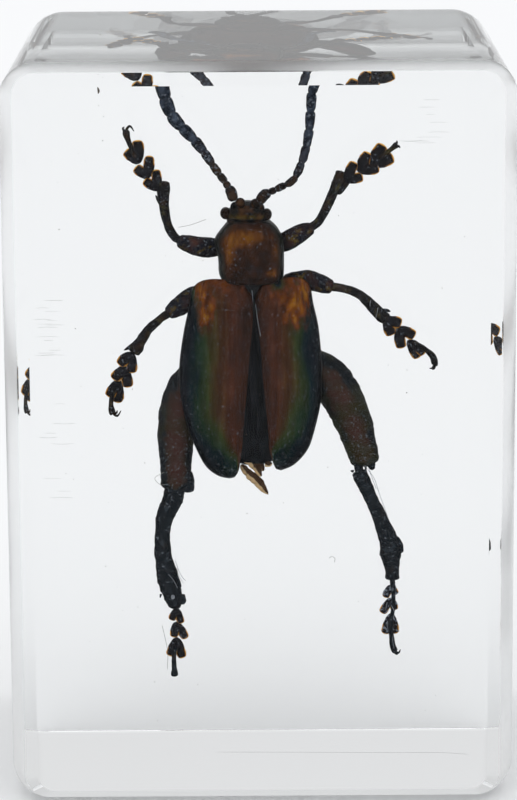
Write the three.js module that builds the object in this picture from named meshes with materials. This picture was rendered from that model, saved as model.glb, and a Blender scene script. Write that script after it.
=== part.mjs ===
// A small upright block of clear cast resin, polished, with an insect sealed inside.
// The cured resin is one solid piece with nothing to open, so it is one mesh.
// Frame: millimetres, +X across the block, +Y from its front face to its back face,
// +Z up along its long side. The origin is the middle of the face that it stands on.
// The sides lean in towards the back, as the draft of the casting mould leaves them.

import * as THREE from 'three';

const WIDTH = 30;
const HEIGHT = 44.5;
const DEPTH = 21.5;

const SIDE_DRAFT_DEG = 1.6;

// The corners of the outline: tight on the front face, and wider where the rim ends. Towards
// the back they stay wide at the top, and close to nearly square at the base.
const FACE_CORNER_RADIUS = 1.0;
const RIM_CORNER_RADIUS = 2.1;
const BACK_CORNER_RADIUS = { top: 2.4, base: 0.45 };

// The front face ends in a crease. A ground band runs back and out from it, and a
// softer polished rim carries the band on to the sides. Each is given by how far
// back it ends, and by how far in from the side, the top and the base it begins.
const BAND_DEPTH = 0.68;
const BAND_INSET = { side: 1.6, top: 1.02, base: 0.9 };
const RIM_DEPTH = 2.3;
const RIM_INSET = { side: 0.9, top: 0.34, base: 0.28 };
const RIM_FULLNESS = 1.6;

// The back edge is only broken, with the same small round all the way about.
const BACK_ROUND = 0.05;

const CORNER_STEPS = 8;
const BAND_STEPS = 2;
const RIM_STEPS = 5;
const BACK_ROUND_STEPS = 4;

const RESIN_COLOUR = 0xe4e9ec;
const RESIN_OPACITY = 0.35;
const RESIN_ROUGHNESS = 0.05;

const QUARTER_TURN = Math.PI / 2;
const FRONT_Y = -DEPTH / 2;
const SIDE_SLOPE = Math.tan(THREE.MathUtils.degToRad(SIDE_DRAFT_DEG));

/** A cross-section of the block: how far back it lies, its size and its corner radii. */
function section(depth, { side, top, base }) {
  const drawnInByDraft = Math.max(0, depth - RIM_DEPTH) * SIDE_SLOPE;
  return {
    y: FRONT_Y + depth,
    halfWidth: WIDTH / 2 - drawnInByDraft - side,
    topZ: HEIGHT - top,
    baseZ: base,
    topRadius: cornerRadius(depth, BACK_CORNER_RADIUS.top),
    baseRadius: cornerRadius(depth, BACK_CORNER_RADIUS.base),
  };
}

/** The corner radius at a depth: straight from the face to the rim, and on to the back. */
function cornerRadius(depth, backRadius) {
  if (depth < RIM_DEPTH) {
    return THREE.MathUtils.lerp(FACE_CORNER_RADIUS, RIM_CORNER_RADIUS, depth / RIM_DEPTH);
  }
  const share = (depth - RIM_DEPTH) / (DEPTH - RIM_DEPTH);
  return THREE.MathUtils.lerp(RIM_CORNER_RADIUS, backRadius, share);
}

/** The insets of the band: straight from the crease to where the rim begins. */
function bandInset(share) {
  return {
    side: THREE.MathUtils.lerp(BAND_INSET.side, RIM_INSET.side, share),
    top: THREE.MathUtils.lerp(BAND_INSET.top, RIM_INSET.top, share),
    base: THREE.MathUtils.lerp(BAND_INSET.base, RIM_INSET.base, share),
  };
}

/** The insets of the rim: a power curve that meets the straight side without a step. */
function rimInset(share) {
  const left = (1 - share) ** RIM_FULLNESS;
  return { side: RIM_INSET.side * left, top: RIM_INSET.top * left, base: RIM_INSET.base * left };
}

/** Sections from the front face back through the band and the rim to the straight sides. */
function frontSections() {
  const sections = [];
  for (let step = 0; step < BAND_STEPS; step += 1) {
    const share = step / BAND_STEPS;
    sections.push(section(BAND_DEPTH * share, bandInset(share)));
  }
  for (let step = 0; step <= RIM_STEPS; step += 1) {
    const share = step / RIM_STEPS;
    sections.push(section(THREE.MathUtils.lerp(BAND_DEPTH, RIM_DEPTH, share), rimInset(share)));
  }
  return sections;
}

/** Sections through the round at the back, from the straight sides to the back face. */
function backSections() {
  return Array.from({ length: BACK_ROUND_STEPS + 1 }, (_, step) => {
    const angle = (QUARTER_TURN * step) / BACK_ROUND_STEPS;
    const inset = BACK_ROUND * (1 - Math.cos(angle));
    const depth = DEPTH - BACK_ROUND * (1 - Math.sin(angle));
    return section(depth, { side: inset, top: inset, base: inset });
  });
}

/** The rounded rectangle of one section, as points that run anticlockwise seen from the front. */
function outline({ y, halfWidth, topZ, baseZ, topRadius, baseRadius }) {
  const corners = [
    { x: halfWidth - topRadius, z: topZ - topRadius, radius: topRadius },
    { x: topRadius - halfWidth, z: topZ - topRadius, radius: topRadius },
    { x: baseRadius - halfWidth, z: baseZ + baseRadius, radius: baseRadius },
    { x: halfWidth - baseRadius, z: baseZ + baseRadius, radius: baseRadius },
  ];
  const points = [];
  corners.forEach(({ x, z, radius }, corner) => {
    for (let step = 0; step <= CORNER_STEPS; step += 1) {
      const angle = QUARTER_TURN * (corner + step / CORNER_STEPS);
      points.push(new THREE.Vector3(x + radius * Math.cos(angle), y, z + radius * Math.sin(angle)));
    }
  });
  return points;
}

/** One closed skin through all the outlines, with a flat face on the first and on the last. */
function skinThrough(outlines) {
  const count = outlines[0].length;
  const positions = outlines.flat().flatMap((point) => point.toArray());
  const triangles = [];
  for (let row = 0; row < outlines.length - 1; row += 1) {
    for (let i = 0; i < count; i += 1) {
      const here = row * count + i;
      const next = row * count + ((i + 1) % count);
      triangles.push(here, here + count, next);
      triangles.push(next, here + count, next + count);
    }
  }
  const last = (outlines.length - 1) * count;
  for (let i = 1; i < count - 1; i += 1) {
    triangles.push(0, i, i + 1);
    triangles.push(last, last + i + 1, last + i);
  }
  const geometry = new THREE.BufferGeometry();
  geometry.setAttribute('position', new THREE.Float32BufferAttribute(positions, 3));
  geometry.setIndex(triangles);
  geometry.computeVertexNormals();
  return geometry;
}

const outlines = [...frontSections(), ...backSections()].map(outline);

const resin = new THREE.MeshStandardMaterial({
  color: RESIN_COLOUR,
  roughness: RESIN_ROUGHNESS,
  metalness: 0,
  transparent: true,
  opacity: RESIN_OPACITY,
});

const block = new THREE.Mesh(skinThrough(outlines), resin);
block.name = 'resin_block';

const part = new THREE.Group();
part.add(block);

export default part;
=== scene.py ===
import math

import bpy
import numpy as np
from mathutils import Matrix, Vector


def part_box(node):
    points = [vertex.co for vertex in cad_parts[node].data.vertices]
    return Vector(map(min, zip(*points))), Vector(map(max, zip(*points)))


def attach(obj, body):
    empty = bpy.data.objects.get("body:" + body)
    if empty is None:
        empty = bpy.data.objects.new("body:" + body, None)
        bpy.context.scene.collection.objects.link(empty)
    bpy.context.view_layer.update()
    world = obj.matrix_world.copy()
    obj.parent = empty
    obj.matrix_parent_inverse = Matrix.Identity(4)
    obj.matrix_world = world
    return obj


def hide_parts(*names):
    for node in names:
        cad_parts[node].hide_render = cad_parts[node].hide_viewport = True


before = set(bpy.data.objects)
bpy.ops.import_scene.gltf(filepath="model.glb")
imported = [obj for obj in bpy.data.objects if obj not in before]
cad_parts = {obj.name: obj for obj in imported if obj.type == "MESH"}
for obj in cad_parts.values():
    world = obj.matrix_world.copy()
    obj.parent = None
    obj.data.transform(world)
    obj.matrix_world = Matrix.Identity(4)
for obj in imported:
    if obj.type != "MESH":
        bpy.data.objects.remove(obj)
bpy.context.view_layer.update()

# Everything below is worked out in millimetres, in the frame of the block: +X across it, +Y from
# its front face to its back face, +Z up. MM turns it into Blender's metres.
MM = 0.001

BLOCK_LOW, BLOCK_HIGH = (np.array(corner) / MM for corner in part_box("resin_block"))
WIDTH, DEPTH, HEIGHT = BLOCK_HIGH - BLOCK_LOW
FRONT_Y = BLOCK_LOW[1]

# The block's own form, as it is cast and polished.
SIDE_SLOPE = math.tan(math.radians(1.6))
FACE_CORNER_RADIUS = 1.0
RIM_CORNER_RADIUS = 2.1
BACK_TOP_RADIUS = 2.4
BACK_BASE_RADIUS = 0.45
BAND_DEPTH = 0.68
BAND_INSET = np.array((1.6, 1.02, 0.9))  # from the side, the top and the base
RIM_DEPTH = 2.3
RIM_INSET = np.array((0.9, 0.34, 0.28))
RIM_FULLNESS = 1.6
BACK_ROUND = 0.05

# Depths of the beetle in the block: its back faces the front.
SHELL_TOP_Y = 3.4
SHELL_EDGE_Y = 5.4
COLLAR_Y = 5.35
HEAD_Y = 5.25
BODY_Y = 5.6
BODY_TOP_Y = 4.35
BELLY_Y = 7.9
HIP_Y = 7.0
LIMB_Y = 5.8
TARSUS_Y = 5.75
FEELER_Y = 3.75

RESIN_INDEX = 1.54
RESIN_TINT = (0.62, 0.66, 0.66)
RESIN_ABSORPTION = 9.0
RIM_ROUGHNESS = 0.38
DUST_COLOUR = (0.26, 0.30, 0.36)
# The colour of the painted shade at outlines, where a surface turns away from the front.
EDGE_SHADE_COLOUR = (0.005, 0.006, 0.008)
# Chitin has nearly the index of the resin around it, so it hardly mirrors at its surface.
SEALED = {"Specular_IOR_Level": 0.08, "Specular_Tint": (0.3, 0.3, 0.3, 1.0)}

# The light of the sky: all round, added straight above, and added behind the block.
HORIZON, OVERHEAD, BEHIND = 0.60, 1.05, 0.10

# The camera looks down by PITCH at AIM, from DISTANCE away, through a long lens.
PITCH = math.radians(14.4)
ROLL = math.radians(0.37)
DISTANCE = 228.9
AIM = Vector((-0.10, FRONT_Y, 24.96))
FOCAL_LENGTH = 176.85


# ---------------------------------------------------------------- shapes

def eased(value, start, end):
    """0 before start and 1 after end, with the cubic 3t^2 - 2t^3 between them."""
    t = np.clip((value - start) / (end - start), 0.0, 1.0)
    return t * t * (3.0 - 2.0 * t)


def even_curve(controls, count):
    """Rows along a Catmull-Rom curve: each stretch is the cubic
    (2b + (c - a) t + (2a - 5b + 4c - d) t^2 + (3b - a - 3c + d) t^3) / 2 of four neighbours."""
    rows = np.asarray(controls, dtype=float)
    padded = np.vstack((2 * rows[0] - rows[1], rows, 2 * rows[-1] - rows[-2]))
    place = np.linspace(0.0, len(rows) - 1.0, count)
    start = np.minimum(place.astype(int), len(rows) - 2)
    t = (place - start)[:, None]
    a, b, c, d = (padded[start + k] for k in range(4))
    return 0.5 * (2 * b + (c - a) * t + (2 * a - 5 * b + 4 * c - d) * t**2
                  + (3 * b - a - 3 * c + d) * t**3)


def unit(vectors):
    """Each row divided by its length."""
    return vectors / np.maximum(np.linalg.norm(vectors, axis=-1, keepdims=True), 1e-9)


def ripple(points, wavelength, seed):
    """A smooth unevenness between about -1 and 1: the mean of six sine waves through space,
    each with its own seeded direction and phase."""
    random = np.random.default_rng(seed)
    directions = unit(random.normal(size=(6, 3))) * (2 * np.pi / wavelength)
    directions *= random.uniform(0.6, 1.6, size=(6, 1))
    return np.sin(points @ directions.T + random.uniform(0, 2 * np.pi, 6)).mean(axis=-1) * 2.0


def skin(rings, values):
    """A closed shell through rings of points: quads between neighbouring rings, and a fan to
    the middle of the first and of the last ring. values are numbers for each ring point."""
    count, sides, _ = rings.shape
    points = np.vstack((rings.reshape(-1, 3), rings[0].mean(axis=0), rings[-1].mean(axis=0)))
    row, col = np.meshgrid(np.arange(count - 1), np.arange(sides), indexing="ij")
    here = row * sides + col
    beside = row * sides + (col + 1) % sides
    quads = np.stack((here, beside, beside + sides, here + sides), axis=-1).reshape(-1, 4)
    around = np.arange(sides)
    after = (around + 1) % sides
    last = (count - 1) * sides
    first_fan = np.stack((after, around, np.full(sides, count * sides)), axis=-1)
    last_fan = np.stack((last + around, last + after, np.full(sides, count * sides + 1)), axis=-1)
    triangles = np.vstack((first_fan, last_fan))
    if enclosed_volume(points, quads, triangles) < 0:
        quads, triangles = quads[:, ::-1], triangles[:, ::-1]
    spread = {
        key: np.concatenate((grid.ravel(), (grid[0].mean(), grid[-1].mean())))
        for key, grid in values.items()
    }
    return points, quads, triangles, spread


def enclosed_volume(points, quads, triangles):
    """Six times the signed volume: the sum of a . (b x c) over all the triangles."""
    halves = np.vstack((triangles, quads[:, [0, 1, 2]], quads[:, [0, 2, 3]]))
    a, b, c = (points[halves[:, k]] for k in range(3))
    return np.einsum("ij,ij->", a, np.cross(b, c))


def piece(name, shells, material):
    """One mesh object from closed shells, joined as they are. The values that the first shell
    has become attributes of the mesh."""
    starts = np.cumsum([0] + [len(points) for points, _, _, _ in shells[:-1]])
    points = np.vstack([shell[0] for shell in shells]) * MM
    quads = np.vstack([shell[1] + start for shell, start in zip(shells, starts)])
    triangles = np.vstack([shell[2] + start for shell, start in zip(shells, starts)])
    mesh = bpy.data.meshes.new(name)
    mesh.from_pydata(points.tolist(), [], quads.tolist() + triangles.tolist())
    for key in shells[0][3]:
        attribute = mesh.attributes.new(key, "FLOAT", "POINT")
        attribute.data.foreach_set("value", np.concatenate([shell[3][key] for shell in shells]))
    mesh.polygons.foreach_set("use_smooth", np.ones(len(mesh.polygons), dtype=bool))
    mesh.materials.append(material)
    mesh.update()
    made = bpy.data.objects.new(name, mesh)
    bpy.context.scene.collection.objects.link(made)
    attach(made, "root")
    return made


def limb(controls, steps=48, sides=20, cap=0.06, power=2.0, rough=0.0, seed=1):
    """A rounded tube along a curve. Each control is (x, z, half width, y, half thickness). The
    section is the superellipse |cos|^(2/p), |sin|^(2/p), and both ends close as an ellipse does,
    over the share cap of the length. rough moves the skin in and out by a broad and a fine
    ripple. side is the cosine round the section, and rim its size: 1 at the outline."""
    share = 0.5 - 0.5 * np.cos(np.linspace(0.0, np.pi, steps))
    fine = even_curve(controls, 401)
    rows = np.stack([np.interp(share, np.linspace(0, 1, 401), fine[:, k]) for k in range(5)], axis=-1)
    spine = rows[:, [0, 3, 1]]
    tangent = unit(np.gradient(spine, axis=0))
    across = unit(np.cross(tangent, np.array((0.0, 1.0, 0.0))))
    through = np.cross(across, tangent)
    ending = np.clip(1.0 - np.minimum(share, 1.0 - share) / cap, 0.0, 1.0)
    closing = np.sqrt(np.clip(1.0 - ending**2, 0.0, 1.0))
    angle = np.linspace(0.0, 2 * np.pi, sides, endpoint=False)
    wide = np.sign(np.cos(angle)) * np.abs(np.cos(angle)) ** (2 / power)
    thick = np.sign(np.sin(angle)) * np.abs(np.sin(angle)) ** (2 / power)
    offset = (across[:, None, :] * (rows[:, 2] * closing)[:, None, None] * wide[None, :, None]
              + through[:, None, :] * (rows[:, 4] * closing)[:, None, None] * thick[None, :, None])
    rings = spine[:, None, :] + offset
    if rough:
        uneven = ripple(rings, 1.1, seed) + 0.8 * ripple(rings, 0.42, seed + 40)
        rings = rings + offset * (rough * uneven)[..., None]
    side = np.repeat(np.cos(angle)[None, :], steps, axis=0)
    values = {"along": np.repeat(share[:, None], sides, axis=1), "rim": np.abs(side), "side": side}
    return skin(rings, values)


def ball(centre, radii, rows=16, sides=24, **extra):
    """An ellipsoid about centre, its rings set along Z by the cosine of the polar angle. rim is
    the sine of the angle between its surface and the front. extra gives even values to add."""
    polar = np.linspace(0.04, np.pi - 0.04, rows)[:, None]
    around = np.linspace(0, 2 * np.pi, sides, endpoint=False)[None, :]
    rings = np.stack((
        centre[0] + radii[0] * np.sin(polar) * np.cos(around),
        centre[1] + radii[1] * np.sin(polar) * np.sin(around),
        centre[2] + radii[2] * np.cos(polar) * np.ones_like(around),
    ), axis=-1)
    values = {"rim": np.sqrt(1.0 - (np.sin(polar) * np.sin(around)) ** 2)}
    values.update({key: np.full_like(rings[..., 0], value) for key, value in extra.items()})
    return skin(rings, values)


# ---------------------------------------------------------------- materials

def new_material(name, **settings):
    """A Principled material with the sockets in settings set, its nodes and its shader."""
    material = bpy.data.materials.new(name)
    material.use_nodes = True
    shader = material.node_tree.nodes["Principled BSDF"]
    for socket, value in settings.items():
        shader.inputs[socket.replace("_", " ")].default_value = value
    return material, material.node_tree, shader


def ramp(tree, stops, source):
    """A colour ramp of (place, colour) stops, driven by source."""
    node = tree.nodes.new("ShaderNodeValToRGB")
    elements = node.color_ramp.elements
    while len(elements) < len(stops):
        elements.new(0.5)
    for element, (place, colour) in zip(elements, stops):
        element.position = place
        element.color = (*colour, 1.0)
    tree.links.new(source, node.inputs["Fac"])
    return node.outputs["Color"]


def number(tree, name):
    """The value of a piece's own attribute."""
    node = tree.nodes.new("ShaderNodeAttribute")
    node.attribute_name = name
    return node.outputs["Fac"]


def noise(tree, per_mm, detail=3.0, stretch=(1, 1, 1)):
    """Noise on Object coordinates with per_mm lumps to a millimetre, as a number near 0.5."""
    place = tree.nodes.new("ShaderNodeTexCoord")
    mapping = tree.nodes.new("ShaderNodeMapping")
    mapping.inputs["Scale"].default_value = [s * per_mm / MM for s in stretch]
    texture = tree.nodes.new("ShaderNodeTexNoise")
    texture.inputs["Scale"].default_value = 1.0
    texture.inputs["Detail"].default_value = detail
    tree.links.new(place.outputs["Object"], mapping.inputs["Vector"])
    tree.links.new(mapping.outputs["Vector"], texture.inputs["Vector"])
    return texture.outputs["Fac"]


def maths(tree, operation, first, second=0.0, clamp=False):
    """A Math node: either side may be a number or another node's output."""
    node = tree.nodes.new("ShaderNodeMath")
    node.operation = operation
    node.use_clamp = clamp
    for slot, value in enumerate((first, second)):
        if isinstance(value, (int, float)):
            node.inputs[slot].default_value = value
        else:
            tree.links.new(value, node.inputs[slot])
    return node.outputs["Value"]


def blend(tree, share, first, second, kind="MIX"):
    """A colour mix: share may be a number or an output, and each colour a value or an output."""
    node = tree.nodes.new("ShaderNodeMix")
    node.data_type = "RGBA"
    node.blend_type = kind
    sockets = (node.inputs[0], node.inputs[6], node.inputs[7])
    for socket, value in zip(sockets, (share, first, second)):
        if isinstance(value, (int, float)):
            socket.default_value = value
        elif isinstance(value, tuple):
            socket.default_value = (*value, 1.0)
        else:
            tree.links.new(value, socket)
    return node.outputs[2]


def raise_skin(tree, shader, height, distance_mm, strength=1.0):
    """A bump of distance_mm driven by height."""
    node = tree.nodes.new("ShaderNodeBump")
    node.inputs["Strength"].default_value = strength
    node.inputs["Distance"].default_value = distance_mm * MM
    tree.links.new(height, node.inputs["Height"])
    tree.links.new(node.outputs["Normal"], shader.inputs["Normal"])


def share_above(tree, value, low, gain):
    """How far value is above low, times gain, held between 0 and 1."""
    return maths(tree, "MULTIPLY", maths(tree, "SUBTRACT", value, low), gain, clamp=True)


def swing(tree, value, reach):
    """How far value is from 0.5, times reach."""
    return maths(tree, "MULTIPLY", maths(tree, "SUBTRACT", value, 0.5), reach)


def patchy(tree, first, second, per_mm, detail, low, gain, stretch=(1, 1, 1)):
    """The first colour, with the second where a noise is above low."""
    share = share_above(tree, noise(tree, per_mm, detail, stretch), low, gain)
    return blend(tree, share, first, second)


def coat(tree, shader, colour, per_mm, detail, distance_mm, strength):
    """Lay a colour on the shader, over a skin that a noise raises by distance_mm."""
    tree.links.new(colour, shader.inputs["Base Color"])
    raise_skin(tree, shader, noise(tree, per_mm, detail), distance_mm, strength)


def dusted(tree, colour, amount, low=0.60, per_mm=5.5):
    """Pale blue-grey dust over a colour: thin blooms where a slow noise is high, and grains
    where a finer noise, per_mm lumps to a millimetre, is above low."""
    bloom = maths(tree, "MULTIPLY", share_above(tree, noise(tree, 2.2, 5.0), 0.50, 4.0), 0.14)
    grain = share_above(tree, noise(tree, per_mm, 2.0), low, 12.0)
    share = maths(tree, "MULTIPLY", maths(tree, "ADD", grain, bloom), amount, clamp=True)
    return blend(tree, share, colour, DUST_COLOUR)


def painted_edge_shade(tree, colour, amount, edge=EDGE_SHADE_COLOUR):
    """Painted shade: the colour darkens to edge by amount where the surface turns away at its outline.
    """
    share = maths(tree, "MULTIPLY", share_above(tree, number(tree, "rim"), 0.52, 2.3), amount)
    return blend(tree, share, colour, edge)


def streaked(tree, colour, streak, low=0.55):
    """The colour times low to 1, as streak goes from 0.32 to 0.62."""
    tone = ramp(tree, ((0.32, (low, low, low)), (0.62, (1.0, 1.0, 1.0))), streak)
    return blend(tree, 1.0, colour, tone, "MULTIPLY")


def resin_material():
    """Clear, very slightly grey resin: full transmission, with even absorption inside. The low
    specular tint stands for a front face that mirrors only the dim side of the room."""
    material, tree, shader = new_material(
        "clear_cast_resin", Base_Color=(1, 1, 1, 1), Roughness=0.0, IOR=RESIN_INDEX,
        Specular_Tint=(0.2, 0.2, 0.2, 1), Transmission_Weight=1.0)
    absorb = tree.nodes.new("ShaderNodeVolumeAbsorption")
    absorb.inputs["Color"].default_value = (*RESIN_TINT, 1.0)
    absorb.inputs["Density"].default_value = RESIN_ABSORPTION
    output = tree.nodes["Material Output"]
    tree.links.new(absorb.outputs["Volume"], output.inputs["Volume"])
    roughness = maths(tree, "MULTIPLY", number(tree, "haze"), RIM_ROUGHNESS)
    tree.links.new(roughness, shader.inputs["Roughness"])
    raise_skin(tree, shader, noise(tree, 0.12, 1.0), 0.02, 0.25)
    return material


def wing_case_material():
    """Metallic wing cases. band runs from bronze brown (0) over the green edge (0.6 to 0.8) to
    blue-black (1), with lengthwise streaks, and gold adds the bright bronze fields: mostly a
    painted sheen of the lamps, partly the cases' own bronze."""
    material, tree, shader = new_material(
        "bronze_green_wing_case", Metallic=0.55, Roughness=0.38, **SEALED)
    streak = noise(tree, 3.4, 5.0, (1, 1, 0.09))
    cloud = noise(tree, 0.8, 5.0, (1, 1, 0.45))
    wander = maths(tree, "ADD", swing(tree, cloud, 0.34), swing(tree, streak, 0.18))
    band = maths(tree, "ADD", number(tree, "band"), wander)
    colour = ramp(tree, (
        (0.00, (0.052, 0.022, 0.015)), (0.26, (0.096, 0.031, 0.016)),
        (0.42, (0.090, 0.040, 0.015)), (0.54, (0.068, 0.056, 0.016)),
        (0.62, (0.044, 0.062, 0.018)), (0.74, (0.020, 0.046, 0.020)),
        (0.84, (0.006, 0.020, 0.024)), (0.93, (0.002, 0.006, 0.012)),
    ), band)
    # The gold value is mostly a painted sheen of the lamps; it shows in broken lumps.
    lumps = share_above(tree, noise(tree, 2.6, 5.0, (1, 1, 0.6)), 0.38, 3.6)
    broken = maths(tree, "ADD", maths(tree, "MULTIPLY", lumps, 0.74), 0.28)
    glow = maths(tree, "MULTIPLY", number(tree, "gold"), broken, clamp=True)
    gold = ramp(tree, (
        (0.00, (0.085, 0.028, 0.013)), (0.34, (0.175, 0.046, 0.011)),
        (0.70, (0.320, 0.100, 0.010)), (1.00, (0.480, 0.190, 0.018)),
    ), glow)
    colour = blend(tree, share_above(tree, glow, 0.04, 3.5), colour, gold)
    mottle = noise(tree, 2.4, 6.0, (1, 1, 0.6))
    colour = streaked(tree, streaked(tree, colour, streak), mottle, 0.70)
    frost = maths(tree, "ADD", maths(tree, "MULTIPLY", number(tree, "frost"), 0.32), 0.20)
    coat(tree, shader, dusted(tree, colour, frost, 0.61, 7.0), 6.0, 3.0, 0.010, 0.45)
    return material


def collar_material():
    """The pronotum: dark brown, orange bronze where its glow, a painted shine of the lamps, is high,
    black-green at its rim, partly its own dark margin and partly painted shade where it turns away.
    """
    material, tree, shader = new_material(
        "orange_bronze_collar", Metallic=0.5, Roughness=0.4, **SEALED)
    # glow here is the painted shine of the lamps, made uneven by a noise.
    wander = swing(tree, noise(tree, 2.4, 7.0), 0.55)
    glow = maths(tree, "ADD", number(tree, "glow"), wander, clamp=True)
    colour = ramp(tree, (
        (0.00, (0.024, 0.011, 0.008)), (0.22, (0.058, 0.021, 0.010)),
        (0.48, (0.200, 0.068, 0.011)), (0.75, (0.380, 0.145, 0.015)),
        (1.00, (0.600, 0.260, 0.035)),
    ), glow)
    colour = streaked(tree, colour, noise(tree, 5.0, 5.0, (1, 1, 0.4)))
    # Painted shade at the outline, over the pronotum's own black-green margin.
    colour = painted_edge_shade(tree, colour, 0.9, (0.008, 0.016, 0.011))
    coat(tree, shader, dusted(tree, colour, 0.30, 0.63), 7.0, 3.0, 0.012, 0.5)
    return material


def head_material():
    """The head: brown-black with dull bronze patches, and old gold where its glow is high."""
    material, tree, shader = new_material(
        "dark_gold_head", Metallic=0.45, Roughness=0.42, **SEALED)
    colour = patchy(tree, (0.007, 0.007, 0.007), (0.080, 0.032, 0.010), 1.6, 5.0, 0.42, 4.0)
    broken = share_above(tree, noise(tree, 2.6, 4.0), 0.38, 4.0)
    gilded = maths(tree, "MULTIPLY", number(tree, "glow"), broken)
    colour = blend(tree, gilded, colour, (0.110, 0.070, 0.012))
    # Painted shade: darker at the outline and at the brow end, where the head turns away, and darker in
    # its grooves too.
    colour = painted_edge_shade(tree, colour, 0.9)
    coat(tree, shader, dusted(tree, colour, 0.22, 0.64), 6.0, 4.0, 0.02, 0.6)
    return material


def chitin_material(name, dark, glow, glint, glow_share):
    """Near-black chitin: warm patches where a slow noise is high, finer glints, outlines darkened
    by painted shade, and a frost of pale grains."""
    material, tree, shader = new_material(name, Metallic=0.35, Roughness=0.42, **SEALED)
    colour = patchy(tree, dark, glow, 0.9, 6.0, 1.0 - glow_share, 3.2)
    colour = patchy(tree, colour, glint, 2.0, 4.0, 0.55, 6.0)
    # Painted shade at the outlines, where the surface turns away.
    colour = painted_edge_shade(tree, colour, 0.85)
    coat(tree, shader, dusted(tree, colour, 0.45, 0.61, 7.0), 4.0, 4.0, 0.014, 0.5)
    return material


def thigh_material():
    """The hind femora: brown red along the middle, olive where a slow noise is high, blue-black
    at the hip and the knee, darkened by painted shade at the outlines, and frosted with pale grains
    towards the knee."""
    material, tree, shader = new_material(
        "brown_red_thigh", Metallic=0.35, Roughness=0.42, **SEALED)
    along = number(tree, "along")
    hip = maths(tree, "SUBTRACT", 0.55, share_above(tree, along, 0.14, 2.4), clamp=True)
    knee = maths(tree, "MULTIPLY", share_above(tree, along, 0.88, 11.0), 0.6)
    # Painted shade: the outline, where the surface turns away, darkens the femur.
    uneven_rim = maths(tree, "ADD", number(tree, "rim"), swing(tree, noise(tree, 1.1, 6.0), 1.0))
    darker = maths(tree, "ADD", maths(tree, "ADD", hip, knee), uneven_rim)
    colour = ramp(tree, (
        (0.24, (0.068, 0.031, 0.024)), (0.54, (0.049, 0.028, 0.021)),
        (0.74, (0.018, 0.020, 0.022)), (0.92, (0.007, 0.009, 0.012)),
    ), darker)
    olive = maths(tree, "MULTIPLY", share_above(tree, noise(tree, 0.6, 4.0), 0.44, 5.0), 0.75)
    colour = blend(tree, olive, colour, (0.034, 0.034, 0.014))
    frost = maths(tree, "MULTIPLY", share_above(tree, along, 0.45, 2.0), 0.30)
    frost = maths(tree, "ADD", frost, 0.28)
    coat(tree, shader, dusted(tree, colour, frost, 0.61, 7.5), 5.0, 4.0, 0.02, 0.6)
    return material


def feeler_material():
    """Antennae: brown-black at the base, and mottled slate blue further out."""
    material, tree, shader = new_material(
        "slate_blue_feeler", Metallic=0.3, Roughness=0.45, **SEALED)
    base = patchy(tree, (0.012, 0.010, 0.010), (0.060, 0.032, 0.019), 2.4, 4.0, 0.44, 5.0)
    outer = patchy(tree, (0.012, 0.017, 0.028), (0.105, 0.135, 0.195), 1.7, 5.0, 0.44, 4.0)
    colour = blend(tree, share_above(tree, number(tree, "along"), 0.24, 4.0), base, outer)
    # Painted shade at the outlines, where the antenna turns away.
    colour = painted_edge_shade(tree, colour, 0.8)
    coat(tree, shader, dusted(tree, colour, 0.60, 0.59), 5.0, 4.0, 0.03, 0.8)
    return material


def lobe_material(name, frost, low):
    """Tarsal lobes: black with a pale frost, and thin amber edges, painted bright for the light that
    shines through them.
    """
    material, tree, shader = new_material(name, Roughness=0.45, **SEALED)
    uneven_edge = maths(tree, "ADD", number(tree, "edge"), swing(tree, noise(tree, 2.0, 3.0), 0.30))
    # The bright end of the ramp is painted light shining through the thin amber edges.
    colour = ramp(tree, (
        (0.00, (0.014, 0.014, 0.018)), (0.62, (0.020, 0.015, 0.014)),
        (0.74, (0.160, 0.060, 0.012)), (0.86, (0.780, 0.360, 0.050)), (1.00, (1.000, 0.620, 0.160)),
    ), uneven_edge)
    coat(tree, shader, dusted(tree, colour, frost, low), 6.0, 3.0, 0.02, 0.6)
    return material


def dry_wing_material():
    """Dried wing skin: brown on the side that curls over, and pale tan on the other."""
    material, tree, shader = new_material("tan_dry_wing", Roughness=0.5, **SEALED)
    uneven = maths(tree, "MULTIPLY", noise(tree, 2.0, 4.0), 1.2)
    curled = share_above(tree, maths(tree, "ADD", number(tree, "side"), uneven), 0.36, 5.0)
    colour = blend(tree, curled, (0.800, 0.560, 0.300), (0.075, 0.038, 0.020))
    colour = patchy(tree, colour, (0.150, 0.080, 0.040), 4.0, 4.0, 0.54, 4.0)
    coat(tree, shader, colour, 5.0, 3.0, 0.02, 0.6)
    return material


def body_material():
    """The body: blue-black on its back, and brown-black plates with dark joints below."""
    material, tree, shader = new_material("plated_body", Metallic=0.3, Roughness=0.45, **SEALED)
    above = patchy(
        tree, (0.003, 0.004, 0.006), (0.016, 0.019, 0.024), 4.5, 4.0, 0.38, 3.5, (1, 1, 0.16))
    below = patchy(tree, (0.014, 0.011, 0.011), (0.060, 0.029, 0.018), 1.2, 6.0, 0.36, 3.5)
    below = blend(tree, number(tree, "joint"), below, (0.006, 0.006, 0.007))
    colour = blend(tree, number(tree, "under"), above, dusted(tree, below, 0.2))
    coat(tree, shader, colour, 6.0, 4.0, 0.02, 0.6)
    return material


def plain_material(name, first, second, per_mm, **settings):
    """Two colours mixed by a noise."""
    material, tree, shader = new_material(name, **settings)
    colour = patchy(tree, first, second, per_mm, 4.0, 0.38, 3.5)
    coat(tree, shader, colour, per_mm * 3.0, 3.0, 0.01, 0.5)
    return material


# ---------------------------------------------------------------- the block

BAND_RINGS = 5
RIM_RINGS = 22
SIDE_RINGS = 26
BACK_RINGS = 9
CORNER_POINTS = 17


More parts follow.
